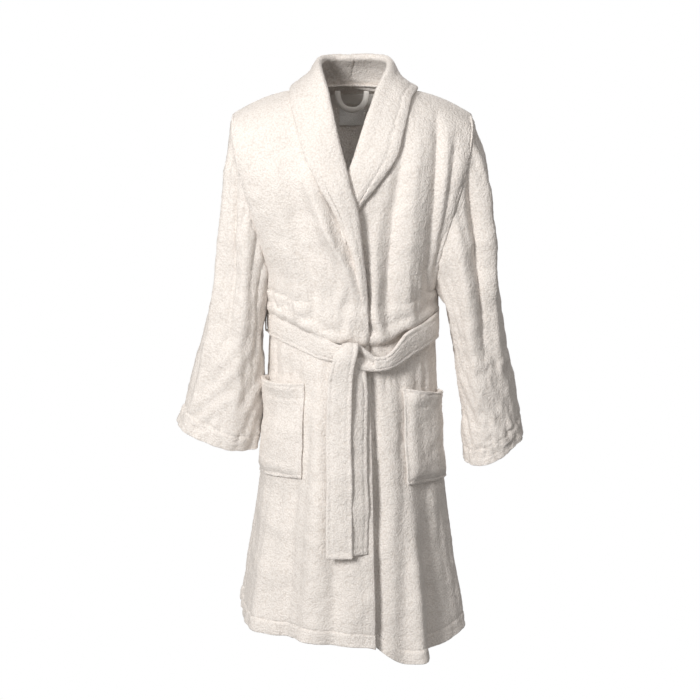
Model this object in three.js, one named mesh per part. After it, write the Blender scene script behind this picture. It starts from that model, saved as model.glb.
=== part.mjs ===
// Terry bathrobe as worn: shawl collar, wide sleeves, wrap front, two patch pockets and a tied belt.
// Millimetres. +Z is up, the front faces -Y, and +X is the wearer's left.
// The origin is the middle of the neck opening, level with the tops of the shoulders.
import * as THREE from "three";
import { RoundedBoxGeometry } from "three/addons/geometries/RoundedBoxGeometry.js";

const { lerp, smoothstep, clamp, degToRad } = THREE.MathUtils;

// ---- Driving dimensions ----

const CLOTH = 5; // one layer of terry with its pile
const TURN = 3; // a turned-in hem, facing or pocket hem, pressed flat
const GAP = 0.6; // clearance between neighbouring pieces
const COLLAR_GAP = 4.5; // between a collar's free edge and the panel beside it
const WRAP_LIFT = 15; // how far the upper front stands off the lower one where they cross

const SHOULDER_TIP = { x: 226, z: -46 };
const NECK_HALF_WIDTH = 127; // where the collar's free edge meets the shoulder seam
const NECK_BACK_DEPTH = 96;

const WAIST = { halfWidth: 160, halfDepth: 120 };
const CHEST_DEPTH = 118;
const BACK_DEPTH = 122;
const UNDERARM_SHARE = 0.81; // of the way from the shoulder to the waist
const ARMHOLE_DEPTH = 78;

const BELT = { frontZ: -482, sideRise: 40, height: 42, thick: 6 };
const SPLIT_BELOW_BELT = 2; // the moving skirt fronts start just under the belt
const HEM_Z = -1062;
const HEM_HEIGHT = 25;

const CUFF = { x: 262, halfWidth: 78, halfDepth: 66, z: -672, tilt: 28, hem: 28 };

const POCKET = { from: 32, to: 74, top: -556, height: 184, gap: 16 };
const TAIL = { width: 41, length: 347, thick: 6 };
const KNOT = { x: 17, width: 63, height: 42, thick: 25 };
const HANGER = { width: 62, drop: 40, strip: 6, thick: 2 };

// ---- Profiles: [place, value] stations joined by a smooth curve ----

function profile(stations) {
  const rising = [...stations].sort((a, b) => a[0] - b[0]);
  const places = rising.map((s) => s[0]);
  const values = rising.map((s) => s[1]);
  const curve = new THREE.CubicInterpolant(places, values, 1, new Float32Array(1));
  return (place) => curve.evaluate(place)[0];
}

const skirtHalfWidth = profile([
  [-470, 160],
  [-600, 164],
  [-700, 171],
  [-820, 188],
  [-950, 207],
  [HEM_Z, 224],
]);
const skirtHalfDepth = profile([
  [-470, 120],
  [-600, 140],
  [-700, 152],
  [-850, 165],
  [HEM_Z, 182],
]);

// The front edges and the collar's free edges, as [height, x]. The right front lies on top.
const rightEdge = profile([
  [-153, -12],
  [-213, 6],
  [-290, 10],
  [-363, 24],
  [-497, 31],
  [-700, 36],
  [HEM_Z, 44],
]);
const rightCollarEdge = profile([
  [0, -NECK_HALF_WIDTH],
  [-20, -108],
  [-70, -94],
  [-131, -75],
  [-180, -52],
  [-230, -28],
  [-290, -12],
  [-363, 2],
  [-530, 16],
]);
const leftEdge = profile([
  [-153, -12],
  [-213, -20],
  [-290, -25],
  [-497, -31],
  [-700, -36],
  [HEM_Z, -44],
]);
const leftCollarEdge = profile([
  [0, NECK_HALF_WIDTH],
  [-20, 108],
  [-70, 94],
  [-116, 80],
  [-155, 59],
  [-213, 22],
  [-290, 6],
  [-363, -6],
  [-530, -18],
]);

// ---- The worn surface ----

const beltZ = (x) => BELT.frontZ + BELT.sideRise * Math.min(1, (x / WAIST.halfWidth) ** 2);
const splitZ = (x) => beltZ(x) - BELT.height / 2 - SPLIT_BELOW_BELT;

// Half width of the upper body, and half depth of the armhole, at share v from shoulder to waist.
const upperHalfWidth = (v) =>
  lerp(SHOULDER_TIP.x, WAIST.halfWidth - 2, smoothstep(v, 0, 0.92));
function armholeHalfDepth(v) {
  const h = Math.min(v / UNDERARM_SHARE, 1);
  return ARMHOLE_DEPTH * (4 * h * (1 - h)) ** 0.45;
}
// How far the surface has come forward or back from the shoulder seam, from 0 to 1.
const chestRound = (v) => Math.sqrt(1 - (1 - Math.min(v / 0.4, 1)) ** 2);
const backRound = (v) => 1 - (1 - Math.min(v / 0.45, 1)) ** 2;

function seamZ(x) {
  const share = (Math.abs(x) - NECK_HALF_WIDTH) / (SHOULDER_TIP.x - NECK_HALF_WIDTH);
  return SHOULDER_TIP.z * clamp(share, 0, 1);
}

// A point of the upper front: x across, v from the shoulder seam (0) to the waist (1).
function upperFront(x, v) {
  const across = clamp(x / upperHalfWidth(v), -1, 1);
  const arm = armholeHalfDepth(v);
  const depth = lerp(CHEST_DEPTH, WAIST.halfDepth, smoothstep(v, 0.4, 1)) * chestRound(v);
  const y = -arm - (depth - arm) * Math.sqrt(1 - across * across);
  return new THREE.Vector3(x, y - GAP, lerp(seamZ(x), splitZ(x), v));
}

// The same point by height in place of share.
function frontAt(x, z) {
  const v = clamp((seamZ(x) - z) / (seamZ(x) - splitZ(x)), 0, 1);
  return upperFront(x, v);
}

// A point of the upper back: angle from -90 to 90 degrees across, v from the neck or shoulder down.
function upperBack(angle, v) {
  const x = upperHalfWidth(v) * Math.sin(angle);
  const topX = (SHOULDER_TIP.x * x) / upperHalfWidth(v);
  const neck = clamp(1 - (topX / NECK_HALF_WIDTH) ** 2, 0, 1);
  const arm = armholeHalfDepth(v);
  const depth = lerp(BACK_DEPTH, WAIST.halfDepth, smoothstep(v, 0.4, 1));
  const own = lerp(NECK_BACK_DEPTH * Math.sqrt(neck), (depth - arm) * Math.cos(angle), backRound(v));
  return new THREE.Vector3(x, arm + own + GAP, lerp(seamZ(topX), splitZ(x), v));
}

// A point of the skirt: angle 0 at the front, 90 degrees at the wearer's left side.
function skirt(angle, z) {
  return new THREE.Vector3(
    skirtHalfWidth(z) * Math.sin(angle),
    -skirtHalfDepth(z) * Math.cos(angle),
    z,
  );
}

// The right front stands off the left one near the middle.
const wrapLift = (x) => WRAP_LIFT * smoothstep(x, -115, -58);

// ---- Builders ----

const cloth = new THREE.MeshStandardMaterial({ color: 0xf4efe8, roughness: 0.95 });
const tape = new THREE.MeshStandardMaterial({ color: 0xf7f4ee, roughness: 0.8 });
const label = new THREE.MeshStandardMaterial({ color: 0xffffff, roughness: 0.5 });

function faceOut(geometry) {
  const p = geometry.getAttribute("position");
  const index = geometry.index.array;
  const corner = (i) => new THREE.Vector3().fromBufferAttribute(p, index[i]);
  let volume = 0;
  for (let i = 0; i < index.length; i += 3) {
    volume += corner(i).dot(corner(i + 1).cross(corner(i + 2)));
  }
  if (volume < 0) index.reverse();
  geometry.computeVertexNormals();
  return geometry;
}

// The outward normal of surface(u, v), where u runs anticlockwise seen from above and v downwards.
function normalAt(surface, u, v) {
  const step = 1e-3;
  const [u0, u1] = [Math.max(u - step, 0), Math.min(u + step, 1)];
  const [v0, v1] = [Math.max(v - step, 0), Math.min(v + step, 1)];
  const along = surface(u1, v).sub(surface(u0, v));
  const down = surface(u, v1).sub(surface(u, v0));
  return down.cross(along).normalize();
}

function offsetPoint(surface, u, v, lift) {
  return surface(u, v).addScaledVector(normalAt(surface, u, v), lift);
}

// A sheet over surface(u, v) for u and v from 0 to 1, between the offsets inner and outer.
function sheet(surface, { nu, nv, inner, outer, spread = 1 }) {
  const geometry = new THREE.BoxGeometry(1, 1, 1, nu, nv, 1);
  const p = geometry.getAttribute("position");
  for (let i = 0; i < p.count; i += 1) {
    const u = p.getX(i) + 0.5;
    const v = (p.getY(i) + 0.5) ** spread;
    const lift = p.getZ(i) > 0 ? outer : inner;
    const at = offsetPoint(surface, u, v, typeof lift === "function" ? lift(u, v) : lift);
    p.setXYZ(i, at.x, at.y, at.z);
  }
  return faceOut(geometry);
}

// A tube wall over surface(u, v), closed in u.
function tube(surface, { nu, nv, inner, outer, from = 0, to = 1 }) {
  const wall = [];
  for (let j = 0; j <= nv; j += 1) wall.push(new THREE.Vector2(2, j / nv));
  for (let j = nv; j >= 0; j -= 1) wall.push(new THREE.Vector2(1, j / nv));
  wall.push(wall[0].clone());
  const geometry = new THREE.LatheGeometry(wall, nu);
  const p = geometry.getAttribute("position");
  for (let i = 0; i < p.count; i += 1) {
    const turn = Math.atan2(p.getX(i), p.getZ(i)) / (2 * Math.PI);
    const u = Math.round(((turn + 1) % 1) * nu) / nu;
    const v = lerp(from, to, p.getY(i));
    const lift = Math.hypot(p.getX(i), p.getZ(i)) > 1.5 ? outer : inner;
    const at = offsetRound(surface, u, v, lift);
    p.setXYZ(i, at.x, at.y, at.z);
  }
  return faceOut(geometry);
}

function offsetRound(surface, u, v, lift) {
  const step = 1e-3;
  const [v0, v1] = [Math.max(v - step, 0), Math.min(v + step, 1)];
  const along = surface(u + step, v).sub(surface(u - step, v));
  const down = surface(u, v1).sub(surface(u, v0));
  return surface(u, v).addScaledVector(down.cross(along).normalize(), lift);
}

const group = new THREE.Group();

function add(name, geometry, material = cloth) {
  const mesh = new THREE.Mesh(geometry, material);
  mesh.name = name;
  group.add(mesh);
  return mesh;
}

// ---- Upper fronts and the back ----

// Across one upper front from the armhole to the collar's free edge, ordered anticlockwise.
function upperFrontSurface(side, collarEdge) {
  return (u, v) => {
    const fromCollar = side < 0 ? 1 - u : u;
    const row = lerp(seamZ(collarEdge(0)), splitZ(collarEdge(-500)), v);
    const halfWidth = upperHalfWidth(v);
    const start = Math.asin((side * collarEdge(row) + COLLAR_GAP) / halfWidth);
    const x = side * halfWidth * Math.sin(lerp(start, Math.PI / 2, fromCollar));
    const at = upperFront(x, v);
    at.y -= side < 0 ? wrapLift(x) : 0;
    return at;
  };
}

add(
  "front_right_upper",
  sheet(upperFrontSurface(-1, rightCollarEdge), { nu: 12, nv: 16, inner: -CLOTH, outer: 0, spread: 1.5 }),
);
add(
  "front_left_upper",
  sheet(upperFrontSurface(1, leftCollarEdge), { nu: 12, nv: 16, inner: -CLOTH, outer: 0, spread: 1.5 }),
);

// The back runs in one piece from the neck to the hem.
const BACK_SPLIT = 0.47; // share of the back's rows above the waist
function backSurface(u, v) {
  const angle = lerp(Math.PI / 2, -Math.PI / 2, u);
  if (v < BACK_SPLIT) return upperBack(angle, v / BACK_SPLIT);
  const down = (v - BACK_SPLIT) / (1 - BACK_SPLIT);
  const x = WAIST.halfWidth * Math.sin(angle);
  const at = skirt(Math.PI - angle, lerp(splitZ(x), HEM_Z, down));
  at.y += GAP;
  return at;
}
add("back_panel", sheet(backSurface, { nu: 20, nv: 26, inner: -CLOTH, outer: 0, spread: 1.25 }));

// ---- Skirt fronts, their facings and hems ----

// From the side seam to the front edge on the right, and the other way on the left.
function skirtFrontSurface(side, edge) {
  return (u, v) => {
    const fromEdge = side < 0 ? 1 - u : u;
    const z = lerp(splitZ(side * WAIST.halfWidth * fromEdge) - 2 * GAP, HEM_Z, v);
    const start = Math.asin((side * edge(z)) / skirtHalfWidth(z));
    const end = Math.PI / 2 - degToRad(0.3);
    const at = skirt(side * lerp(start, end, fromEdge), z);
    at.y -= side < 0 ? wrapLift(at.x) : 0;
    return at;
  };
}
const rightSkirt = skirtFrontSurface(-1, rightEdge);
const leftSkirt = skirtFrontSurface(1, leftEdge);
add("front_right_skirt", sheet(rightSkirt, { nu: 14, nv: 12, inner: -CLOTH, outer: 0 }));
add("front_left_skirt", sheet(leftSkirt, { nu: 14, nv: 12, inner: -CLOTH, outer: 0 }));

const HEM_SHARE = HEM_HEIGHT / (BELT.frontZ - HEM_Z);
const part = (surface, [u0, u1], [v0, v1]) => (u, v) => surface(lerp(u0, u1, u), lerp(v0, v1, v));
const inside = { inner: -CLOTH - GAP - TURN, outer: -CLOTH - GAP };

add("facing_right", sheet(part(rightSkirt, [0.76, 0.995], [0.005, 0.94]), { nu: 4, nv: 10, ...inside }));
add("facing_left", sheet(part(leftSkirt, [0.005, 0.24], [0.005, 0.94]), { nu: 4, nv: 10, ...inside }));
const hemRows = [1 - HEM_SHARE, 0.999];
add("hem_right", sheet(part(rightSkirt, [0, 1], hemRows), { nu: 14, nv: 1, ...inside }));
add("hem_left", sheet(part(leftSkirt, [0, 1], hemRows), { nu: 14, nv: 1, ...inside }));
const backHemRows = [1 - HEM_SHARE * (1 - BACK_SPLIT), 0.999];
add("hem_back", sheet(part(backSurface, [0, 1], backHemRows), { nu: 20, nv: 1, ...inside }));

// ---- Shawl collar: one half each side, from the middle of the back to the waist ----

const COLLAR = { stand: 74, thick: 9, above: 4 };
function collarHalf(side, edge, collarEdge, lift) {
  const onFront = (x, z) => {
    const at = frontAt(x, z);
    at.y -= lift(x);
    return at;
  };
  const neckRoll = [
    [1.5, 60, COLLAR.stand],
    [38, 54, COLLAR.stand - 1],
    [66, 26, COLLAR.stand - 8],
    [70, -12, 44],
    [58, -48, 8],
    [38, -76, -34],
    [19, -96, -82],
    [0, -108, -122],
  ].map(([x, y, z]) => new THREE.Vector3(side * x, y - lift(side * x), z));
  const lapelRoll = [-165, -213, -290, -363, -440, -512].map((z) => onFront(edge(z), z));
  const neckFree = [
    [1.5, NECK_BACK_DEPTH, 7],
    [62, 84, 7],
    [108, 50, 7],
    [NECK_HALF_WIDTH, 6, 6],
  ].map(([x, y, z]) => new THREE.Vector3(side * x, y, z));
  const lapelFree = [-20, -70, -116, -155, -213, -290, -363, -440, -512].map((z) =>
    onFront(collarEdge(z), z),
  );
  const rollLine = new THREE.CatmullRomCurve3([...neckRoll, ...lapelRoll]);
  const freeLine = new THREE.CatmullRomCurve3([...neckFree, ...lapelFree]);
  return (u, v) => {
    const s = side < 0 ? u : 1 - u;
    return rollLine.getPointAt(s).lerp(freeLine.getPointAt(s), v);
  };
}
const noLift = () => 0;
// The roll stands above the panels and thins out to nothing at the waist.
const rollHeight = (s) => COLLAR.above * (1 - smoothstep(s, 0.74, 0.9));
const roll = (side) => ({
  nu: 30,
  nv: 4,
  inner: COLLAR.above - COLLAR.thick,
  outer: (u) => rollHeight(side < 0 ? u : 1 - u),
});
add("collar_left", sheet(collarHalf(1, leftEdge, leftCollarEdge, noLift), roll(1)));
add("collar_right", sheet(collarHalf(-1, rightEdge, rightCollarEdge, wrapLift), roll(-1)));

// ---- Sleeves and their turned-in cuffs ----

function sleeveSurface(side) {
  return (u, v) => {
    const turn = 2 * Math.PI * u; // 0 at the top or outer side, half a turn at the underarm
    const under = (1 - Math.cos(turn)) / 2;
    const share = UNDERARM_SHARE * under;
    const start = new THREE.Vector3(
      side * (upperHalfWidth(share) + 2.5 * GAP + CLOTH * (1 - under)),
      side * Math.sign(Math.sin(turn)) * armholeHalfDepth(share),
      lerp(SHOULDER_TIP.z, splitZ(WAIST.halfWidth), share),
    );
    const end = new THREE.Vector3(
      side * (CUFF.x + CUFF.halfWidth * Math.cos(turn)),
      side * CUFF.halfDepth * Math.sin(turn),
      CUFF.z + CUFF.tilt * Math.cos(turn),
    );
    const at = start.clone().lerp(end, v);
    // The underarm side swings out at once, to clear the belt.
    at.x = lerp(start.x, end.x, 1 - (1 - v) ** lerp(1, 6, under));
    return at;
  };
}
for (const [side, name] of [
  [-1, "right"],
  [1, "left"],
]) {
  const sleeve = sleeveSurface(side);
  const hemStart = 1 - CUFF.hem / 600;
  add(`sleeve_${name}`, tube(sleeve, { nu: 28, nv: 10, inner: -CLOTH, outer: 0 }));
  const turned = { inner: -CLOTH - 2 * GAP - TURN, outer: -CLOTH - 2 * GAP };
  add(`cuff_${name}`, tube(sleeve, { nu: 28, nv: 1, ...turned, from: hemStart, to: 0.999 }));
}

// ---- Pockets: bagged out from the skirt fronts, open at the top ----

function pocketSurface(side) {
  return (u, v) => {
    const fromEdge = side < 0 ? 1 - u : u;
    const angle = degToRad(lerp(POCKET.from, POCKET.to, fromEdge));
    const at = skirt(side * angle, POCKET.top - POCKET.height * v);
    at.y -= side < 0 ? wrapLift(at.x) : 0;
    return at;
  };
}
const rise = (t) => smoothstep(t, 0, 0.16);
const bag = (u, v) => GAP + POCKET.gap * rise(u) * rise(1 - u) * rise(1 - v);
for (const [side, name] of [
  [-1, "right"],
  [1, "left"],
]) {
  const pocket = pocketSurface(side);
  const layer = (inner, outer) => ({
    inner: (u, v) => bag(u, v) + inner,
    outer: (u, v) => bag(u, v) + outer,
  });
  add(`pocket_${name}`, sheet(pocket, { nu: 10, nv: 10, ...layer(0, CLOTH) }));
  const hemInner = CLOTH + GAP;
  add(
    `pocket_hem_${name}`,
    sheet(part(pocket, [0, 1], [0, 0.14]), {
      nu: 10,
      nv: 1,
      inner: (u) => bag(u, 0) + hemInner,
      outer: (u) => bag(u, 0) + hemInner + TURN,
    }),
  );
}

// ---- Belt: a band round the waist, a knot and two hanging tails ----

function beltSurface(fromDegrees, toDegrees, halfHeight) {
  return (u, v) => {
    const angle = degToRad(lerp(fromDegrees, toDegrees, u));
    const x = WAIST.halfWidth * Math.sin(angle);
    const front = Math.cos(angle) > 0;
    const z = (front ? beltZ(x) : BELT.frontZ + BELT.sideRise) + lerp(halfHeight, -halfHeight, v);
    const at = new THREE.Vector3(x, -WAIST.halfDepth * Math.cos(angle), z);
    at.y -= front ? wrapLift(x) + GAP : -2 * GAP;
    return at;
  };
}
const BELT_OFF = 2.5; // the belt lies this far outside the panels
add(
  "belt_band",
  sheet(beltSurface(9, 363, BELT.height / 2), {
    nu: 56,
    nv: 2,
    inner: BELT_OFF,
    outer: BELT_OFF + BELT.thick,
  }),
);
const KNOT_BACK = -WAIST.halfDepth - WRAP_LIFT - BELT_OFF - BELT.thick - 3 * GAP;
const knot = add(
  "belt_knot",
  new RoundedBoxGeometry(KNOT.width, KNOT.thick, KNOT.height, 3, 11),
);
knot.position.set(KNOT.x, KNOT_BACK - KNOT.thick / 2, BELT.frontZ - 1);

// Tails hang over the skirt from under the knot. The second is turned edge-on beside the first.
const TAIL_TOP = BELT.frontZ - 4 - KNOT.height / 2 - 6; // room to rise with the skirt front
function tailSurface(middle, halfWidth, turn) {
  return (u, v) => {
    const z = TAIL_TOP - TAIL.length * v;
    const across = lerp(-halfWidth, halfWidth, u);
    const shift = 8 * (1 - smoothstep(v, 0, 0.25));
    const lie = skirtHalfDepth(z) + WRAP_LIFT + 9 + 14 * (1 - smoothstep(v, 0, 0.3));
    return new THREE.Vector3(middle + shift + across * Math.cos(turn), -lie + across * Math.sin(turn), z);
  };
}
const strip = { nu: 2, nv: 14, inner: -TAIL.thick / 2, outer: TAIL.thick / 2 };
add("belt_tail_front", sheet(tailSurface(-27, TAIL.width / 2, 0), strip));
add("belt_tail_back", sheet(tailSurface(16, 15, degToRad(-12)), strip));

// Belt loops stand off the side seams and hold the belt.
for (const [side, name] of [
  [-1, "right"],
  [1, "left"],
]) {
  const middle = side < 0 ? 274 : 86;
  const over = (u, v) => 1.5 + 8.2 * smoothstep(v, 0, 0.1) * smoothstep(1 - v, 0, 0.1);
  add(
    `belt_loop_${name}`,
    sheet(beltSurface(middle - 2.6, middle + 2.6, 27), {
      nu: 1,
      nv: 20,
      inner: over,
      outer: (u, v) => over(u, v) + 1.6,
    }),
  );
}

// ---- Inside the back neck: tape over the seam, a blank label and the hanger loop ----

const neckRows = (top, bottom) => [top, bottom].map((v) => v * BACK_SPLIT);
add(
  "neck_tape",
  sheet(part(backSurface, [0.4, 0.6], neckRows(0.03, 0.075)), {
    nu: 10,
    nv: 2,
    inner: -CLOTH - 9 * GAP - 1.5,
    outer: -CLOTH - 9 * GAP,
  }),
  tape,
);
add(
  "neck_label",
  sheet(part(backSurface, [0.46, 0.54], neckRows(0.085, 0.16)), {
    nu: 4,
    nv: 2,
    inner: -CLOTH - 4 * GAP - 1,
    outer: -CLOTH - 4 * GAP,
  }),
  label,
);

const loopShape = new THREE.Shape();
const halfLoop = HANGER.width / 2;
loopShape.moveTo(-halfLoop, 0);
loopShape.lineTo(-halfLoop, -HANGER.drop + halfLoop / 2);
loopShape.quadraticCurveTo(-halfLoop, -HANGER.drop, 0, -HANGER.drop);
loopShape.quadraticCurveTo(halfLoop, -HANGER.drop, halfLoop, -HANGER.drop + halfLoop / 2);
loopShape.lineTo(halfLoop, 0);
loopShape.lineTo(halfLoop - HANGER.strip, 0);
loopShape.lineTo(halfLoop - HANGER.strip, -HANGER.drop + halfLoop / 2);
loopShape.quadraticCurveTo(
  halfLoop - HANGER.strip,
  -HANGER.drop + HANGER.strip,
  0,
  -HANGER.drop + HANGER.strip,
);
loopShape.quadraticCurveTo(
  -halfLoop + HANGER.strip,
  -HANGER.drop + HANGER.strip,
  -halfLoop + HANGER.strip,
  -HANGER.drop + halfLoop / 2,
);
loopShape.lineTo(-halfLoop + HANGER.strip, 0);
loopShape.closePath();
const hanger = add(
  "hanger_loop",
  new THREE.ExtrudeGeometry(loopShape, { depth: HANGER.thick, bevelEnabled: false, curveSegments: 8 }),
  tape,
);
hanger.rotation.x = Math.PI / 2;
hanger.position.set(0, NECK_BACK_DEPTH - 14, -8);

export default group;
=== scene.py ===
"""Terry bathrobe as worn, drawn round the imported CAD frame.

Metres. +Z is up, the front faces -Y and +X is the wearer's left. Every cloth piece starts as a grid of points
whose columns run anticlockwise seen from above and whose rows run down, and is then given its thickness.
"""

import math

import bpy
import numpy as np
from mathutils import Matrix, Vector


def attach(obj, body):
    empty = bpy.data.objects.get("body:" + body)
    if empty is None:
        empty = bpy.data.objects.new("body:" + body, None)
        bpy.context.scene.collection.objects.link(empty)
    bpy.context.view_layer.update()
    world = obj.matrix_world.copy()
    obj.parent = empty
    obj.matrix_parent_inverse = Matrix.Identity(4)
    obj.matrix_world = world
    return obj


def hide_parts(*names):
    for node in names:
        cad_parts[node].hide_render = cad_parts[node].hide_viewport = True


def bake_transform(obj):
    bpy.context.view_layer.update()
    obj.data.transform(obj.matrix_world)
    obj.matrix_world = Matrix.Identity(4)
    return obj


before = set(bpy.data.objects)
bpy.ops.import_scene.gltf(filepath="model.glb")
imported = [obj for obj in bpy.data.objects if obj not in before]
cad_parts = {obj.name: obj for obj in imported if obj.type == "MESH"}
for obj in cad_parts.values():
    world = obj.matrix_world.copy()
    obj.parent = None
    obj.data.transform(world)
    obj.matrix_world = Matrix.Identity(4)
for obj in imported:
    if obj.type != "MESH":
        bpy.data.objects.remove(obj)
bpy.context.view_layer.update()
fuzz_rng = np.random.default_rng(7)

# ---- Dimensions, in metres ----

PLY = 0.0046  # one layer of terry with its pile
HEM_PLY = 0.003  # a layer turned in and pressed flat by its stitching
STITCH = 0.0024  # half width of the groove along a row of stitches
SHOULDER = (0.226, -0.046)  # tip of the shoulder: x, z
NECK_HALF_WIDTH = 0.098
NECK_BACK = 0.096
WAIST = (0.155, 0.119)  # half width, half depth
CHEST_DEPTH = 0.120
BACK_DEPTH = 0.121
UNDERARM = 0.81  # share of the way from the shoulder to the waist
ARMHOLE_DEPTH = 0.078
BELT_Z = -0.483
BELT_RISE = 0.041
BELT_TILT = 0.009
BELT_HEIGHT = 0.044
HEM_Z = -1.058
HEM = 0.025
CUFF_HEM = 0.027
CUFF_HALF_DEPTH = 0.066
SLEEVE_LENGTH = 0.60

# Points in the grids. The drape takes every second one, so each grid that isn't closed has an odd number.
FRONT_COLUMNS = 83
BACK_COLUMNS = 149
SLEEVE_COLUMNS = 128


# ---- Small tools ----


def smooth(t):
    t = np.clip(t, 0.0, 1.0)
    return t * t * (3 - 2 * t)


def ramp(x, a, b):
    return smooth((x - a) / (b - a))


def lerp(a, b, t):
    return a + (b - a) * t


def bell(x, at, width=STITCH):
    """1 at that place, falling to 0 on both sides of it."""
    return np.exp(-(((x - at) / width) ** 2))


def profile(stations):
    """A smooth line through (place, value) stations that never overshoots them."""
    pts = sorted(stations)
    x = np.array([p[0] for p in pts], float)
    y = np.array([p[1] for p in pts], float)
    h, d = np.diff(x), np.diff(y) / np.diff(x)
    m = np.concatenate([[d[0]], (d[:-1] + d[1:]) / 2, [d[-1]]])
    flat = d[:-1] * d[1:] <= 0
    m[1:-1][flat] = 0

    def at(q):
        q = np.clip(q, x[0], x[-1])
        i = np.clip(np.searchsorted(x, q) - 1, 0, len(h) - 1)
        t = (q - x[i]) / h[i]
        a = (1 + 2 * t) * (1 - t) ** 2 * y[i] + t * (1 - t) ** 2 * h[i] * m[i]
        return a + t * t * (3 - 2 * t) * y[i + 1] + t * t * (t - 1) * h[i] * m[i + 1]

    return at


def unit(a):
    return a / np.maximum(np.linalg.norm(a, axis=-1, keepdims=True), 1e-12)


def normals(P, closed=False):
    if closed:
        Q = np.concatenate([P[:, -1:], P, P[:, :1]], axis=1)
        along = np.gradient(Q, axis=1)[:, 1:-1]
    else:
        along = np.gradient(P, axis=1)
    return unit(np.cross(np.gradient(P, axis=0), along))


def lifted(P, lift, closed=False):
    """A grid moved out along its normals."""
    return P + normals(P, closed) * np.asarray(lift)[..., None]


def waves(P, seed, longest, shortest, count=26):
    """A smooth random field over points, from plane waves between two wavelengths, about -1 to 1."""
    r = np.random.default_rng(seed)
    k = unit(r.normal(size=(count, 3))) * 2 * np.pi
    k /= np.exp(r.uniform(np.log(shortest), np.log(longest), (count, 1)))
    phase = r.uniform(0, 2 * np.pi, count)
    return np.cos(P @ k.T + phase).sum(axis=-1) / np.sqrt(count)


def folds(a, b, table):
    """Height of a set of folds. Each is a list of stations (b, a, height, width) down its length."""
    total = np.zeros(np.broadcast(a, b).shape)
    for stations in table:
        s = sorted(stations)
        at = [profile([(q[0], q[i]) for q in s]) for i in (1, 2, 3)]
        inside = (b >= s[0][0]) & (b <= s[-1][0])
        q = (a - at[0](b)) / at[2](b)
        total += np.where(inside, at[1](b) * np.exp(-np.abs(q) ** 1.7), 0.0)
    return total


# ---- The worn shape of the body ----

skirt_half_width = profile(
    [(-0.40, WAIST[0]), (-0.52, 0.161), (-0.60, 0.166), (-0.70, 0.173), (-0.82, 0.188),
     (-0.95, 0.206), (HEM_Z, 0.222)]
)
skirt_half_depth = profile(
    [(-0.40, WAIST[1]), (-0.50, 0.122), (-0.60, 0.139), (-0.70, 0.151), (-0.85, 0.165), (HEM_Z, 0.181)]
)


def belt_z(x):
    """Height of the belt's middle: it rises to the sides, a little less on the wearer's left."""
    return BELT_Z + BELT_RISE * np.minimum(1, np.abs(x / WAIST[0]) ** 1.3) - BELT_TILT * ramp(x, 0.0, 0.07)


def seam_z(x):
    share = (np.abs(x) - NECK_HALF_WIDTH) / (SHOULDER[0] - NECK_HALF_WIDTH)
    return SHOULDER[1] * np.clip(share, 0, 1) ** 1.8


def upper_half_width(v):
    return lerp(SHOULDER[0], WAIST[0], ramp(v, 0, 0.92))


def armhole_half_depth(v):
    h = np.minimum(v / UNDERARM, 1)
    return ARMHOLE_DEPTH * (4 * h * (1 - h)) ** 0.45


def upper_front(x, v):
    across = np.clip(x / upper_half_width(v), -1, 1)
    arm = armhole_half_depth(v)
    round_over = np.sqrt(1 - (1 - np.minimum(v / 0.4, 1)) ** 2)
    depth = lerp(CHEST_DEPTH, WAIST[1], ramp(v, 0.4, 1)) * round_over
    y = -arm - (depth - arm) * np.sqrt(1 - across * across)
    return np.stack([x, y, lerp(seam_z(x), belt_z(x), v)], axis=-1)


def upper_back(angle, v):
    x = upper_half_width(v) * np.sin(angle)
    top_x = SHOULDER[0] * np.sin(angle) + 0 * v
    neck = np.clip(1 - (top_x / NECK_HALF_WIDTH) ** 2, 0, 1)
    arm = armhole_half_depth(v)
    depth = lerp(BACK_DEPTH, WAIST[1], ramp(v, 0.4, 1))
    round_over = 1 - (1 - np.minimum(v / 0.45, 1)) ** 2
    own = lerp(NECK_BACK * np.sqrt(neck), (depth - arm) * np.cos(angle), round_over)
    return np.stack([x, arm + own, lerp(seam_z(top_x), belt_z(x), v)], axis=-1)


def skirt(angle, z):
    return np.stack(
        [skirt_half_width(z) * np.sin(angle), -skirt_half_depth(z) * np.cos(angle), z + 0 * angle], axis=-1
    )


right_edge = profile(
    [(-0.153, -0.012), (-0.213, 0.006), (-0.290, 0.014), (-0.363, 0.024), (-0.497, 0.031),
     (-0.70, 0.036), (HEM_Z, 0.043)]
)
left_edge = profile(
    [(-0.153, -0.012), (-0.213, -0.020), (-0.290, -0.025), (-0.497, -0.031), (-0.70, -0.036),
     (HEM_Z, -0.043)]
)
# Where the panel ends under the collar: beside its free edge at the neck, at the front edge from the waist.
right_tuck = profile(
    [(0.0, -0.100), (-0.020, -0.092), (-0.070, -0.076), (-0.131, -0.050), (-0.180, -0.020), (-0.230, 0.001),
     (-0.290, 0.012), (-0.363, 0.023), (-0.480, 0.031)]
)
left_tuck = profile(
    [(0.0, 0.106), (-0.020, 0.092), (-0.070, 0.074), (-0.116, 0.052), (-0.155, 0.026), (-0.185, 0.006),
     (-0.213, -0.008), (-0.290, -0.020), (-0.363, -0.027), (-0.480, -0.031)]
)


def wrap_lift(P):
    """How far the right front stands off the left one near the middle."""
    depth = lerp(0.014, 0.009, ramp(-P[..., 2], 0.30, 0.42)) + 0.008 * ramp(-P[..., 2], 0.53, 0.66)
    return depth * ramp(P[..., 0], -0.115, -0.050)


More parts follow.
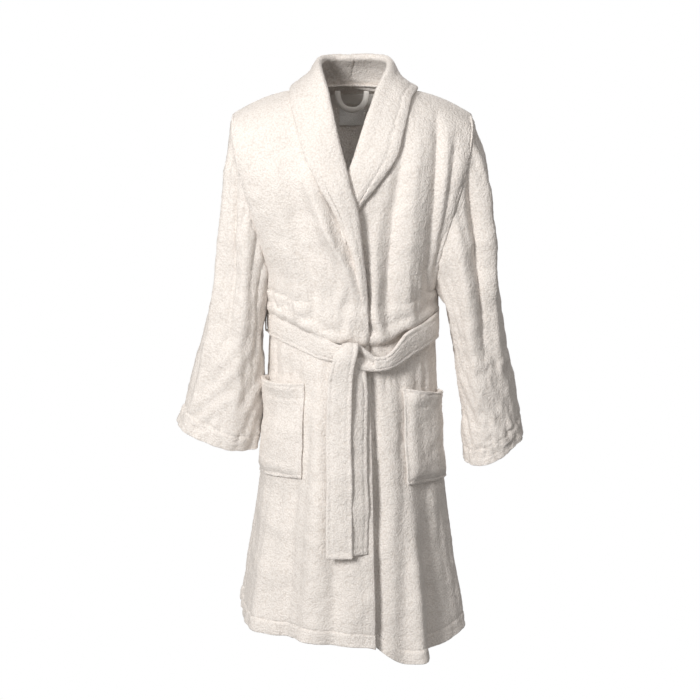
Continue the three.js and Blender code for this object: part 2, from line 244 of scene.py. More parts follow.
# Folds on the front, as (height z, x, how far it stands out, half width).
RIGHT_FRONT_FOLDS = [
    [(-0.11, -0.094, 0.0, 0.018), (-0.16, -0.077, 0.010, 0.015), (-0.20, -0.061, 0.017, 0.015),
     (-0.25, -0.042, 0.023, 0.016), (-0.29, -0.023, 0.021, 0.015), (-0.33, -0.006, 0.015, 0.013),
     (-0.37, 0.004, 0.006, 0.012), (-0.43, 0.008, 0.0, 0.012)],
    [(-0.12, -0.068, 0.0, 0.009), (-0.16, -0.052, -0.008, 0.009), (-0.20, -0.033, -0.009, 0.010),
     (-0.235, -0.020, -0.002, 0.010), (-0.27, -0.006, 0.0, 0.009)],
    [(-0.10, -0.150, 0.0, 0.020), (-0.22, -0.128, 0.006, 0.020), (-0.38, -0.095, 0.008, 0.018),
     (-0.47, -0.078, 0.002, 0.012)],
    [(-0.20, -0.100, 0.0, 0.016), (-0.32, -0.078, -0.006, 0.014), (-0.46, -0.050, -0.004, 0.012)],
    [(-0.50, -0.070, 0.0, 0.014), (-0.58, -0.064, 0.006, 0.016), (-0.80, -0.070, 0.008, 0.022),
     (-1.07, -0.090, 0.010, 0.026)],
    [(-0.52, -0.030, 0.0, 0.012), (-0.66, -0.028, -0.004, 0.016), (-0.85, -0.034, -0.006, 0.020),
     (-1.07, -0.040, -0.008, 0.024)],
    [(-0.56, -0.120, 0.0, 0.016), (-0.78, -0.118, -0.005, 0.020), (-1.07, -0.135, -0.010, 0.024)],
    [(-0.70, -0.165, 0.0, 0.014), (-0.85, -0.172, 0.007, 0.016), (-1.07, -0.188, 0.012, 0.018)],
]
LEFT_FRONT_FOLDS = [
    [(-0.02, 0.161, 0.0, 0.009), (-0.10, 0.159, -0.011, 0.012), (-0.29, 0.151, -0.012, 0.014),
     (-0.44, 0.134, -0.003, 0.012)],
    [(-0.05, 0.196, 0.0, 0.008), (-0.14, 0.187, -0.007, 0.010), (-0.29, 0.167, -0.009, 0.010),
     (-0.38, 0.153, 0.0, 0.010)],
    [(-0.05, 0.178, 0.0, 0.009), (-0.15, 0.174, 0.005, 0.010), (-0.30, 0.160, 0.006, 0.010),
     (-0.42, 0.146, 0.0, 0.010)],
    [(-0.04, 0.124, 0.0, 0.016), (-0.14, 0.119, 0.004, 0.018), (-0.26, 0.110, 0.006, 0.018),
     (-0.38, 0.100, 0.006, 0.017), (-0.46, 0.092, 0.0, 0.014)],
    [(-0.07, 0.096, 0.0, 0.010), (-0.17, 0.084, -0.007, 0.012), (-0.30, 0.069, -0.009, 0.013),
     (-0.43, 0.066, -0.005, 0.012)],
    [(-0.20, 0.050, 0.0, 0.012), (-0.32, 0.044, 0.007, 0.013), (-0.43, 0.044, 0.006, 0.012),
     (-0.47, 0.044, 0.0, 0.012)],
    [(-0.26, 0.022, 0.0, 0.010), (-0.36, 0.021, -0.007, 0.011), (-0.47, 0.026, -0.003, 0.010)],
    [(-0.51, 0.074, 0.0, 0.016), (-0.60, 0.076, 0.007, 0.020), (-0.80, 0.078, 0.009, 0.024),
     (-1.07, 0.080, 0.006, 0.026)],
    [(-0.53, 0.044, 0.0, 0.010), (-0.64, 0.044, -0.008, 0.011), (-0.85, 0.046, -0.008, 0.012),
     (-1.07, 0.046, -0.005, 0.014)],
    [(-0.72, 0.112, 0.0, 0.012), (-0.80, 0.114, 0.006, 0.014), (-0.88, 0.118, 0.018, 0.017),
     (-1.07, 0.129, 0.028, 0.021)],
    [(-0.68, 0.146, 0.0, 0.014), (-0.84, 0.152, -0.016, 0.020), (-1.07, 0.170, -0.026, 0.024)],
    [(-0.78, 0.196, 0.0, 0.010), (-0.92, 0.204, 0.006, 0.012), (-1.07, 0.220, 0.010, 0.014)],
]
# Folds on the back, by angle in degrees from the middle of the back, anticlockwise.
BACK_FOLDS = [
    [(-0.05, 0.0, 0.0, 8), (-0.25, -3, -0.006, 7), (-0.46, -4, -0.004, 5)],
    [(-0.10, 34, 0.0, 8), (-0.28, 30, 0.008, 7), (-0.47, 26, 0.002, 5)],
    [(-0.10, -36, 0.0, 8), (-0.28, -31, 0.008, 7), (-0.47, -27, 0.002, 5)],
    [(-0.50, -58, 0.0, 5), (-0.66, -60, 0.009, 7), (-1.07, -64, 0.016, 8)],
    [(-0.50, -34, 0.0, 5), (-0.66, -36, -0.010, 6), (-1.07, -40, -0.016, 7)],
    [(-0.50, -12, 0.0, 5), (-0.66, -13, 0.010, 7), (-1.07, -15, 0.018, 8)],
    [(-0.50, 8, 0.0, 5), (-0.66, 9, -0.010, 6), (-1.07, 10, -0.015, 7)],
    [(-0.50, 30, 0.0, 5), (-0.66, 31, 0.010, 7), (-1.07, 34, 0.018, 8)],
    [(-0.50, 56, 0.0, 5), (-0.66, 57, -0.008, 6), (-1.07, 60, -0.014, 7)],
    [(-0.62, 76, 0.0, 5), (-0.80, 77, 0.006, 6), (-1.07, 78, 0.012, 6)],
]


def belt_pull(P, turn):
    """The cloth drawn in under the belt, blousing above it, with short gathers on both sides."""
    over = P[..., 2] - belt_z(P[..., 0])
    front = ramp(-P[..., 1], -0.06, 0.06)
    blouse = lerp(0.007, 0.010, front) * bell(over, 0.068, 0.032)
    swell = 0.005 * bell(over, -0.052, 0.030)
    pinch = -0.0035 * bell(over, 0, 0.020)
    gather = np.sin(turn * 17 + 1.3 * np.sin(turn * 5)) + 0.6 * np.sin(turn * 29 + 2.0)
    reach = np.where(over > 0, np.exp(-np.abs(over - 0.026) / 0.030), np.exp(-np.abs(over + 0.026) / 0.045))
    return blouse + swell + pinch + np.where(over > 0, 0.0016, 0.0010) * gather * reach


def hem_relief(distance, width=HEM, stitch=0.0022):
    """The stitched line of a turned hem: slightly thicker cloth, then a groove at its top."""
    return 0.0009 * ramp(-distance, -width, -width + 0.004) - 0.0014 * bell(distance, width, stitch)


def body_rows():
    """Shares of the way down: 0 to 1 above the belt, 1 to 2 below it, closer at the hem's stitching."""
    upper = np.linspace(0, 1, 111) ** 1.3
    lower = 1 + np.linspace(0, 1, 122)[1:]
    hem = 2 - np.linspace(0.030, 0, 15) / (BELT_Z - HEM_Z)
    lower = lower[lower < hem[0] - 0.006]
    rows = np.concatenate([upper, lower, hem])
    return rows if len(rows) % 2 else np.delete(rows, 150)


def crumple(P, seed, strength=1.0):
    return strength * (0.0016 * waves(P, seed, 0.16, 0.07) + 0.0006 * waves(P, seed + 1, 0.06, 0.022))


SHARE = body_rows()
ROWS_UP = SHARE[SHARE <= 1][:, None]
ROWS_DOWN = SHARE[SHARE > 1][:, None] - 1
BELOW = (2 - SHARE)[:, None] * (BELT_Z - HEM_Z)  # height above the hem, along the skirt


def front_base(side, tuck, edge, table):
    """One front as it would hang if it were stiff: its columns run from one of its edges to the other."""
    from_edge = np.linspace(0, 1, FRONT_COLUMNS)[None, :]
    height = lerp(0.0, BELT_Z, ROWS_UP)
    width = upper_half_width(ROWS_UP)
    start = np.arcsin(np.clip(side * tuck(height) / width, -1, 1))
    x = side * width * np.sin(lerp(start, np.pi / 2, from_edge))
    upper = upper_front(x, ROWS_UP + 0 * x)
    z = lerp(belt_z(side * WAIST[0] * from_edge), HEM_Z, ROWS_DOWN)
    start = np.arcsin(side * edge(z) / skirt_half_width(z))
    lower = skirt(side * lerp(start, np.pi / 2, from_edge), z)

    P = np.concatenate([upper, lower])
    P[..., 1] -= PLY / 2 * ramp(from_edge, 0.9, 1.0)
    at_side = from_edge
    if side < 0:
        P, at_side = P[:, ::-1], at_side[:, ::-1]
        P[..., 1] -= wrap_lift(P)
    turn = np.arctan2(P[..., 0], -P[..., 1])
    lift = folds(P[..., 0], P[..., 2], table) * (1 - ramp(at_side, 0.88, 1.0)) + belt_pull(P, turn)
    P = lifted(P, lift)
    P[..., 2] += hem_drop(turn) * ramp(SHARE, 1.2, 2.0)[:, None]
    return P


def body_finish(P, seed, at_side, at_front=None):
    """The small relief: crumples, the hem's stitching and, on a front, the two lines of its facing."""
    calm = (1 - ramp(at_side, 0.90, 1.0)) * ramp(np.minimum(SHARE, 1.0)[:, None], 0.0, 0.10)
    lift = crumple(P, seed) * calm + hem_relief(BELOW)
    if at_front is not None:
        below_belt = ramp(SHARE, 1.04, 1.08)[:, None]
        lift = lift - 0.0013 * bell(at_front, 0.020) - 0.0009 * bell(at_front, 0.080) * below_belt
    return lifted(P, lift)


def hem_drop(turn):
    """The hem hangs lowest on the left front, and rises over the right front and to both sides."""
    degrees = np.degrees(turn)
    right_front = ramp(degrees, -85, -20) * (1 - ramp(degrees, 8, 34))
    front = -0.010 * bell(degrees, 38, 26) + 0.040 * right_front
    return front + 0.046 * bell(degrees, -100, 46) + 0.022 * bell(degrees, 98, 32)


def back_base():
    angle = np.linspace(np.pi / 2, -np.pi / 2, BACK_COLUMNS)[None, :]
    upper = upper_back(angle, ROWS_UP)
    z = lerp(belt_z(WAIST[0] * np.sin(angle)), HEM_Z, ROWS_DOWN)
    P = np.concatenate([upper, skirt(np.pi - angle, z)])
    end = np.abs(np.degrees(angle)) / 90
    P[..., 1] += PLY / 2 * ramp(end, 0.92, 1.0)
    turn = np.arctan2(P[..., 0], -P[..., 1])
    lift = folds(-np.degrees(angle) + 0 * P[..., 0], P[..., 2], BACK_FOLDS) * (1 - ramp(end, 0.88, 1.0))
    P = lifted(P, lift + belt_pull(P, turn))
    P[..., 2] += hem_drop(turn) * ramp(SHARE, 1.2, 2.0)[:, None]
    return P


# ---- Sleeves ----

# Folds down a sleeve: (share down, degrees round from the outer side to the back, height, half width).
LEFT_SLEEVE_FOLDS = [
    [(0.03, 292, 0.0, 10), (0.16, 290, -0.016, 12), (0.35, 284, -0.017, 12), (0.58, 279, -0.012, 13),
     (0.80, 276, 0.0, 14)],
    [(0.02, 320, 0.0, 14), (0.25, 316, 0.012, 15), (0.60, 312, 0.009, 16), (0.98, 306, 0.004, 20)],
    [(0.02, 262, 0.0, 12), (0.28, 258, 0.010, 13), (0.60, 252, 0.008, 14), (1.0, 250, 0.0, 16)],
    [(0.45, 292, 0.0, 16), (0.75, 300, -0.007, 16), (1.0, 308, -0.004, 18)],
    [(0.20, 342, 0.0, 14), (0.50, 346, -0.005, 15), (0.9, 350, 0.0, 16)],
    [(0.10, 60, 0.0, 14), (0.40, 64, 0.009, 16), (1.0, 70, 0.005, 20)],
    [(0.10, 100, 0.0, 14), (0.45, 98, -0.010, 15), (0.95, 100, -0.004, 18)],
    [(0.15, 140, 0.0, 14), (0.50, 136, 0.007, 16), (1.0, 130, 0.004, 20)],
]
RIGHT_SLEEVE_FOLDS = [
    [(0.02, 300, 0.0, 12), (0.25, 292, -0.009, 14), (0.50, 286, -0.007, 16), (0.80, 282, 0.0, 16)],
    [(0.10, 322, 0.0, 12), (0.40, 326, 0.009, 13), (0.80, 326, 0.009, 14), (1.0, 320, 0.004, 18)],
    [(0.02, 262, 0.0, 14), (0.30, 262, 0.008, 14), (0.65, 262, 0.007, 16), (1.0, 256, 0.006, 20)],
    [(0.45, 345, 0.0, 12), (0.70, 347, -0.006, 13), (1.0, 348, -0.004, 16)],
    [(0.10, 60, 0.0, 14), (0.40, 66, 0.008, 16), (1.0, 74, 0.006, 20)],
    [(0.10, 105, 0.0, 14), (0.45, 100, -0.009, 15), (0.95, 104, -0.004, 18)],
    [(0.15, 145, 0.0, 14), (0.50, 140, 0.007, 16), (1.0, 134, 0.004, 20)],
]
SLEEVES = {
    "right": dict(side=-1, shoulder=0.036, leaving=(0.66, -0.75), bend=(0.233, -0.390),
                  outer=(0.343, -0.634), inner=(0.178, -0.678), dip=-0.009, table=RIGHT_SLEEVE_FOLDS),
    "left": dict(side=1, shoulder=0.058, leaving=(0.86, -0.51), bend=(0.265, -0.390),
                 outer=(0.336, -0.655), inner=(0.224, -0.708), dip=-0.014, table=LEFT_SLEEVE_FOLDS),
}
SLEEVE_SEEDS = {"right": 51, "left": 57}
SLEEVE_DOWN = np.concatenate([np.linspace(0, 1, 125)[:-8], np.linspace(1 - 7.4 / 124, 1, 16)])[:, None]


def sleeve_base(side, shoulder, leaving, bend, outer, inner, dip, table):
    """A sleeve as a tube from the armhole to the cuff, drawn for the left arm and mirrored for the right one.

    It leaves the shoulder that far along leaving, passes bend, and ends at a cuff between outer and inner.
    """
    v = SLEEVE_DOWN
    turn = np.linspace(0, 2 * np.pi, SLEEVE_COLUMNS, endpoint=False)[None, :]
    under = (1 - np.cos(turn)) / 2
    share = UNDERARM * under
    start = np.stack([upper_half_width(share) - 0.003, np.sign(np.sin(turn)) * armhole_half_depth(share),
                      lerp(SHOULDER[1], belt_z(WAIST[0]), share)], axis=-1)
    centre = [(outer[i] + inner[i]) / 2 for i in (0, 1)]
    half = [(outer[i] - inner[i]) / 2 for i in (0, 1)]
    front = np.maximum(-np.sin(turn), 0)
    end = np.stack([centre[0] + half[0] * np.cos(turn), CUFF_HALF_DEPTH * np.sin(turn),
                    centre[1] + half[1] * np.cos(turn) + dip * front**1.5], axis=-1)
    leave = unit(np.stack([lerp(leaving[0], 0.62, under), 0 * turn, lerp(leaving[1], -0.78, under)], axis=-1))
    p1 = start + leave * lerp(shoulder, 0.045, under)[..., None]
    top = np.array([bend[0], 0.0, bend[1]])
    low = np.array([inner[0] - 0.006, 0.0, -0.50])
    p2 = lerp(top, low, under[..., None]) + np.stack([0 * turn, 0.072 * np.sin(turn), 0 * turn], axis=-1)
    t = v[..., None]
    P = (1 - t) ** 3 * start + 3 * t * (1 - t) ** 2 * p1 + 3 * t * t * (1 - t) * p2 + t**3 * end
    angle = np.degrees(turn) + 0 * v
    lift = folds(angle, v + 0 * angle, table) * lerp(1, 0.75, ramp(v, 0.9, 1.0))
    P = lifted(P, lift, closed=True)
    return P[:, ::-1] * np.array([-1.0, 1.0, 1.0]) if side < 0 else P


def sleeve_finish(P, seed):
    v = SLEEVE_DOWN
    turn = np.linspace(0, 2 * np.pi, P.shape[1], endpoint=False)[None, :]
    above = (1 - v) * SLEEVE_LENGTH
    lift = crumple(P, seed, 1.2) * ramp(v, 0.0, 0.10) + hem_relief(above, CUFF_HEM)
    puckers = np.sin(turn * 26 + 2 * np.sin(turn * 3)) * bell(above, CUFF_HEM, 0.012)
    return lifted(P, lift + 0.0012 * puckers, closed=True)


# ---- Cloth simulation ----
# Every second point of the stiff shapes is a particle. Gravity pulls it, the distances to its neighbours are
# kept a few percent longer than drawn, and the spare cloth finds its own folds round belt, arms and body.

GRAVITY = 9.81
STEP_TIME = 1 / 400
STEPS = 420
DAMPING = 0.985
BEND = 0.06  # stiffness of the links that skip a particle
BODY_SURPLUS = {"across": 0.035, "down": -0.004}
SLEEVE_SURPLUS = {"across": 0.030, "down": 0.020}
LAYER_GAP = 0.0085  # from the left front to the right one over it
BELT_GRIP = 0.022  # the belt holds the cloth this far above and below its middle
# The share of its way back that a particle goes in each step, to where it was drawn.
CHEST_HOLD, WAIST_HOLD, SKIRT_HOLD = 0.020, 0.005, 0.0016
LAPEL_HOLD = 0.15
SLEEVE_HOLD, ARMHOLE_HOLD = 0.0035, 0.06


def links(index, dr, dc, stiffness, closed=False):
    """Pairs of particles that far apart in a grid, in sets that share no particle."""
    rows, cols = index.shape
    r = np.arange(rows - dr)
    c = np.arange(cols) if closed else np.arange(max(0, -dc), cols - max(0, dc))
    order = r // max(dr, 1) if dr else c // max(dc, 1)
    sets = []
    for half in (0, 1):
        rr, cc = (r[order % 2 == half], c) if dr else (r, c[order % 2 == half])
        a = index[np.ix_(rr, cc)].ravel()
        b = index[np.ix_(rr + dr, (cc + dc) % cols)].ravel()
        sets.append((a, b, stiffness, "across" if dr == 0 else "down" if dc == 0 else "both"))
    return sets


def all_links(index, closed=False):
    pairs = [(0, 1, 1.0), (1, 0, 1.0), (1, 1, 0.25), (1, -1, 0.25), (0, 2, BEND), (2, 0, BEND)]
    return [s for dr, dc, k in pairs for s in links(index, dr, dc, k, closed)]


def settle(X, free, hold, sets, surplus, fullness, keep_out):
    """Moves the particles X until they hang. free is 0 where one is pinned, hold pulls it back home."""
    home, speed = X.copy(), np.zeros_like(X)
    rest = []
    for a, b, stiffness, way in sets:
        more = surplus.get(way, sum(surplus.values()) / 2)
        length = np.linalg.norm(X[b] - X[a], axis=1) * (1 + more * fullness[a])
        share = free[a] + free[b]
        k = stiffness / np.where(share > 0, share, 1)
        rest.append((a, b, length, k * free[a], k * free[b]))
    for _ in range(STEPS):
        before = X.copy()
        speed[:, 2] -= GRAVITY * STEP_TIME
        X += (speed * STEP_TIME + (home - X) * hold[:, None]) * free[:, None]
        for a, b, length, ka, kb in rest:
            d = X[b] - X[a]
            now = np.sqrt(np.einsum("ij,ij->i", d, d)) + 1e-9
            d *= (1 - length / now)[:, None]
            X[a] += d * ka[:, None]
            X[b] -= d * kb[:, None]
        keep_out(X)
        speed = (X - before) * (DAMPING / STEP_TIME)
    return X


def doubled(D, closed=False):
    """Twice as many points along the first axis, the new ones on a smooth curve through the old ones."""
    if closed:
        ext = np.concatenate([D[-1:], D, D[:2]])
    else:
        ext = np.concatenate([2 * D[:1] - D[1:2], D, 2 * D[-1:] - D[-2:-1]])
    mid = (9 * (ext[1:-2] + ext[2:-1]) - ext[:-3] - ext[3:]) / 16
    out = np.empty((len(D) + len(mid), *D.shape[1:]))
    out[0::2], out[1::2] = D, mid
    return out


def add_drape(P, D, closed=False):
    fine = np.swapaxes(doubled(np.swapaxes(doubled(D), 0, 1), closed), 0, 1)
    return P + fine


def drape_body(back, right, left):
    """Lets the three panels hang together, sewn at the sides, pinned at the belt, armholes and collar."""
    coarse = [g[::2, ::2] for g in (back, right, left)]
    share = SHARE[::2]
    counts = np.cumsum([0] + [g.shape[0] * g.shape[1] for g in coarse])
    ib, ir, il = [np.arange(a, b).reshape(g.shape[:2]) for a, b, g in zip(counts, counts[1:], coarse)]
    X = np.concatenate([g.reshape(-1, 3) for g in coarse])
    sewn = share >= UNDERARM
    for front_ids, back_ids in ((ir[sewn, 0], ib[sewn, -1]), (il[sewn, -1], ib[sewn, 0])):
        X[back_ids] = (X[back_ids] + X[front_ids]) / 2
    ir[sewn, 0], il[sewn, -1] = ib[sewn, -1], ib[sewn, 0]

    free, hold = np.ones(len(X)), np.zeros(len(X))
    over = np.abs(X[:, 2] - belt_z(X[:, 0]))
    for index, edge_col in ((ib, None), (ir, -1), (il, 0)):
        ids = index.ravel()
        down = np.repeat(share, index.shape[1])
        hold[ids] = np.where(down < 1, lerp(CHEST_HOLD, WAIST_HOLD, ramp(down, 0.3, 0.9)), SKIRT_HOLD)
        free[index[0]] = 0
        open_side = index[~sewn]
        free[open_side[:, 0 if index is not il else -1]] = 0
        if index is ib:
            free[open_side[:, -1]] = 0
        if edge_col is not None:
            upper = index[share < 1]
            free[upper[:, edge_col]] = 0
            near = upper[:, -5:] if edge_col == -1 else upper[:, :5]
            hold[near.ravel()] = LAPEL_HOLD
    free[over < BELT_GRIP] = 0
    fullness = np.zeros(len(X))
    for index in (ib, ir, il):
        full = lerp(0.15, 1.0, ramp(share, 0.45, 0.95)) * lerp(1.0, 0.55, ramp(share, 0.99, 1.05))
        fullness[index.ravel()] = np.repeat(full, index.shape[1])

    def keep_out(X):
        z = X[:, 2]
        skin = lerp(0.012, 0.055, ramp(-z, 0.70, 1.05))
        a, b = skirt_half_width(z) - skin, skirt_half_depth(z) - skin
        q = np.sqrt((X[:, 0] / a) ** 2 + (X[:, 1] / b) ** 2)
        inside = (q < 1) & (z < BELT_Z + 0.01) & (free > 0)
        X[inside, :2] /= q[inside, None]
        for r in range(12, len(share)):
            upper, lower = X[ir[r]], X[il[r]]
            limit = np.interp(upper[:, 0], lower[:, 0], lower[:, 1]) - LAYER_GAP
            over_left = (upper[:, 0] > lower[0, 0] - 0.012) & (upper[:, 0] < 0.08)
            push = over_left & (upper[:, 1] > limit) & (free[ir[r]] > 0)
            X[ir[r][push], 1] = limit[push]

    drawn = X.copy()
    sets = all_links(ib) + all_links(ir) + all_links(il)
    X = settle(X, free, hold, sets, BODY_SURPLUS, fullness, keep_out)
    return [add_drape(g, (X - drawn)[i]) for g, i in zip((back, right, left), (ib, ir, il))]


# How near the middle of the body the inner side of each sleeve comes, by height.
SLEEVE_CLEARANCE = {
    -1: profile([(-0.40, 0.150), (-0.440, 0.156), (-0.470, 0.187), (-0.488, 0.187), (-0.510, 0.176),
                 (-0.56, 0.173), (-0.63, 0.178), (-0.70, 0.190)]),
    1: profile([(-0.37, 0.160), (-0.395, 0.172), (-0.425, 0.198), (-0.455, 0.197), (-0.475, 0.196),
                (-0.505, 0.207), (-0.55, 0.203), (-0.63, 0.210), (-0.70, 0.222)]),
}
# Shoulder, elbow and wrist of the arm inside each sleeve, and its radius.
ARM = {
    -1: ((-0.190, -0.12), (-0.206, -0.34), (-0.302, -0.70)),
    1: ((0.205, -0.12), (0.229, -0.34), (0.296, -0.70)),
}
ARM_RADIUS = 0.045


def drape_sleeve(P, side):
    """Lets a sleeve hang from its armhole, over the arm in it and beside the body."""
    coarse = P[::2, ::2]
    index = np.arange(coarse.shape[0] * coarse.shape[1]).reshape(coarse.shape[:2])
    X = coarse.reshape(-1, 3).copy()
    free, hold = np.ones(len(X)), np.full(len(X), SLEEVE_HOLD)
    free[index[0]] = 0
    hold[index[1:4].ravel()] = ARMHOLE_HOLD
    joints = [np.array([x, 0.0, z]) for x, z in ARM[side]]

    def keep_out(X):
        for a, b in zip(joints, joints[1:]):
            t = np.clip((X - a) @ (b - a) / ((b - a) @ (b - a)), 0, 1)
            away = X - (a + t[:, None] * (b - a))
            d = np.linalg.norm(away, axis=1)
            near = (d < ARM_RADIUS) & (free > 0)
            X[near] += away[near] * (ARM_RADIUS / d[near] - 1)[:, None]
        z = X[:, 2]
        clear = SLEEVE_CLEARANCE[side](z) + PLY / 2
        q = np.sqrt((X[:, 0] / clear) ** 2 + (X[:, 1] / (WAIST[1] + 0.02)) ** 2)
        inside = (q < 1) & (z < -0.37) & (free > 0)
        X[inside, 0] /= q[inside]

    drawn = X.copy()
    fullness = ramp(X[:, 2], -0.10, -0.30)
    X = settle(X, free, hold, all_links(index, closed=True), SLEEVE_SURPLUS, fullness, keep_out)
    return add_drape(P, (X - drawn)[index], closed=True)


# ---- Meshes ----


def new_mesh(name, V, F, material):
    used, back = np.unique(F, return_inverse=True)
    mesh = bpy.data.meshes.new(name)
    mesh.from_pydata(V[used].tolist(), [], back.reshape(F.shape).tolist())
    mesh.polygons.foreach_set("use_smooth", np.ones(len(F), bool))
    mesh.materials.append(material)
    ob = bpy.data.objects.new(name, mesh)
    bpy.context.scene.collection.objects.link(ob)
    return ob


def shell(name, P, thick, material, closed=False, pile=0.0003, rings=3):
    """Gives a grid its thickness, with rounded edges. thick is a number or one value for each point."""
    rows, cols = P.shape[:2]
    N = normals(P, closed)
    half = np.broadcast_to(np.asarray(thick, float), (rows, cols)) / 2
    ri = np.arange(-rings, rows + rings)
    ci = np.arange(cols) if closed else np.arange(-rings, cols + rings)
    r_in, c_in = np.clip(ri, 0, rows - 1), np.clip(ci, 0, cols - 1)
    r_out, c_out = (ri - r_in)[:, None], (ci - c_in)[None, :]
    grid = np.ix_(r_in, c_in)
    down = unit(np.gradient(P, axis=0))[grid]
    along = unit(np.gradient(P, axis=1))[grid]
    way = unit(down * r_out[..., None] + along * c_out[..., None])
    level = np.maximum(np.abs(r_out), np.abs(c_out))
    angle = level / rings * np.pi / 2
    base, n, h = P[grid], N[grid], half[grid][..., None]
    fuzz = fuzz_rng.normal(0, pile, base.shape[:2])[..., None] * n
    rim = base + way * h * np.sin(angle)[..., None]
    rise = n * h * np.cos(angle)[..., None]
    top = rim + rise + fuzz
    under = rim - rise + fuzz_rng.normal(0, pile, base.shape[:2])[..., None] * n
    count = top.shape[0] * top.shape[1]
    upper = np.arange(count).reshape(top.shape[:2])
    lower = np.where(level == rings, upper, upper + count)
    V = np.concatenate([top.reshape(-1, 3), under.reshape(-1, 3)])

    def quads(index, flip):
        right = np.roll(index, -1, axis=1) if closed else index[:, 1:]
        left = index if closed else index[:, :-1]
        loop = [left[:-1], left[1:], right[1:], right[:-1]]
        if flip:
            loop = loop[::-1]
        return np.stack(loop, axis=-1).reshape(-1, 4)

    return new_mesh(name, V, np.concatenate([quads(upper, False), quads(lower, True)]), material)


def sample(P, rows, cols):
    """Points of grid P at fractional rows and columns."""
    r = np.clip(rows, 0, P.shape[0] - 1.001)
    c = np.clip(cols, 0, P.shape[1] - 1.001)
    i, j = r.astype(int), c.astype(int)
    fr, fc = (r - i)[..., None], (c - j)[..., None]
    a = P[i, j] * (1 - fc) + P[i, j + 1] * fc
    b = P[i + 1, j] * (1 - fc) + P[i + 1, j + 1] * fc
    return a * (1 - fr) + b * fr


def patch(P, rows, cols, lift):
    """A piece of grid P between rows and columns, moved out along its normals."""
    rows, cols = np.broadcast_arrays(rows, cols)
    return sample(P, rows, cols) + sample(normals(P), rows, cols) * np.asarray(lift)[..., None]


# ---- Materials ----


def new_node(tree, kind, inputs=None, **properties):
    node = tree.nodes.new("ShaderNode" + kind)
    for key, value in properties.items():
        setattr(node, key, value)
    for key, value in (inputs or {}).items():
        node.inputs[key].default_value = value
    return node


def two_tone(tree, driver, low, high, start=0.0, end=1.0):
    """Two colours, mixed by the output that drives them."""
    node = new_node(tree, "ValToRGB")
    for stop, place, colour in zip(node.color_ramp.elements, (start, end), (low, high)):
        stop.position = place
        stop.color = (*colour, 1)
    tree.links.new(driver, node.inputs["Fac"])
    return node.outputs["Color"]


def new_material(name, finish):
    """A material with those values on its shader, and the object's own coordinates for its textures."""
    material = bpy.data.materials.new(name)
    material.use_nodes = True
    tree = material.node_tree
    shader = tree.nodes["Principled BSDF"]
    for key, value in finish.items():
        shader.inputs[key].default_value = value
    return material, tree, shader, new_node(tree, "TexCoord").outputs["Object"]


def texture(tree, place, kind, inputs, **properties):
    node = new_node(tree, "Tex" + kind, inputs, **properties)
    tree.links.new(place, node.inputs["Vector"])
    return node.outputs


def add_bump(tree, shader, height, strength, distance):
    bump = new_node(tree, "Bump", {"Strength": strength, "Distance": distance})
    tree.links.new(height, bump.inputs["Height"])
    tree.links.new(bump.outputs["Normal"], shader.inputs["Normal"])


TERRY_FINISH = {"Roughness": 0.92, "Specular IOR Level": 0.12, "Sheen Weight": 0.16, "Sheen Roughness": 0.45,
                "Sheen Tint": (1.0, 0.97, 0.94, 1.0)}
# Painted shade: the colour that the gaps between the terry loops are darkened towards.
PIT_SHADE_COLOUR = (0.80, 0.77, 0.74)


def terry(name, colour, loops=300.0, depth=0.0020, mottle=0.045):
    """Looped cotton: small round loops in rows with painted shade in the gaps between them, a soft mottle and
    a velvet sheen.
    """
    material, tree, shader, place = new_material(name, TERRY_FINISH)
    loop = texture(tree, place, "Voronoi", {"Scale": loops, "Smoothness": 0.35}, feature="SMOOTH_F1")
    tuft = texture(tree, place, "Noise", {"Scale": 130.0, "Detail": 3.0, "Roughness": 0.62})
    height = new_node(tree, "Math", {1: -0.55}, operation="MULTIPLY_ADD")
    tree.links.new(loop["Distance"], height.inputs[0])
    tree.links.new(tuft["Fac"], height.inputs[2])
    add_bump(tree, shader, height.outputs[0], 0.85, depth)

    cloudy = texture(tree, place, "Noise", {"Scale": 16.0, "Detail": 2.0})
    low = [c * (1 - mottle) for c in colour]
    mottled_tone = two_tone(tree, cloudy["Fac"], low, colour, 0.30, 0.70)
    # Painted shade: the base colour is darkened in the gaps between the loops, where the pile lies in shade.
    painted_pit_shade = two_tone(tree, loop["Distance"], (1, 1, 1), PIT_SHADE_COLOUR, 0.25, 0.85)
    with_pit_shade = new_node(tree, "Mix", data_type="RGBA", blend_type="MULTIPLY")
    with_pit_shade.inputs["Factor"].default_value = 0.8
    tree.links.new(mottled_tone, with_pit_shade.inputs["A"])
    tree.links.new(painted_pit_shade, with_pit_shade.inputs["B"])
    tree.links.new(with_pit_shade.outputs["Result"], shader.inputs["Base Color"])
    return material


def woven(name, colour, threads):
    """Flat woven tape: fine crossing threads."""
    material, tree, shader, place = new_material(name, {"Roughness": 0.7, "Sheen Weight": 0.15})
    weave = texture(tree, place, "Wave", {"Scale": threads, "Distortion": 0.6},
                    wave_type="BANDS", bands_direction="DIAGONAL")
    tint = two_tone(tree, weave["Fac"], [c * 0.86 for c in colour], colour)
    tree.links.new(tint, shader.inputs["Base Color"])
    add_bump(tree, shader, weave["Fac"], 0.6, 0.0003)
    return material


cloth = terry("terry_cream", (0.865, 0.822, 0.785))
belt_cloth = terry("terry_belt", (0.87, 0.828, 0.792), loops=320.0)
hem_cloth = terry("terry_hem", (0.855, 0.812, 0.775), depth=0.0014)
tape_cloth = woven("cotton_tape", (0.84, 0.81, 0.77), 260.0)
label_cloth = woven("label_satin", (0.90, 0.89, 0.87), 420.0)

# ---- Body pieces ----


def declare(piece, nodes, slot, **cut):
    """Hides the CAD nodes that a piece stands for; its finish and the flat cloth it was cut from are not
    used.
    """
    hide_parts(*nodes)


back, right_front, left_front = drape_body(
    back_base(),
    front_base(-1, right_tuck, right_edge, RIGHT_FRONT_FOLDS),
    front_base(1, left_tuck, left_edge, LEFT_FRONT_FOLDS),
)
columns = np.linspace(0, 1, FRONT_COLUMNS)[None, :]


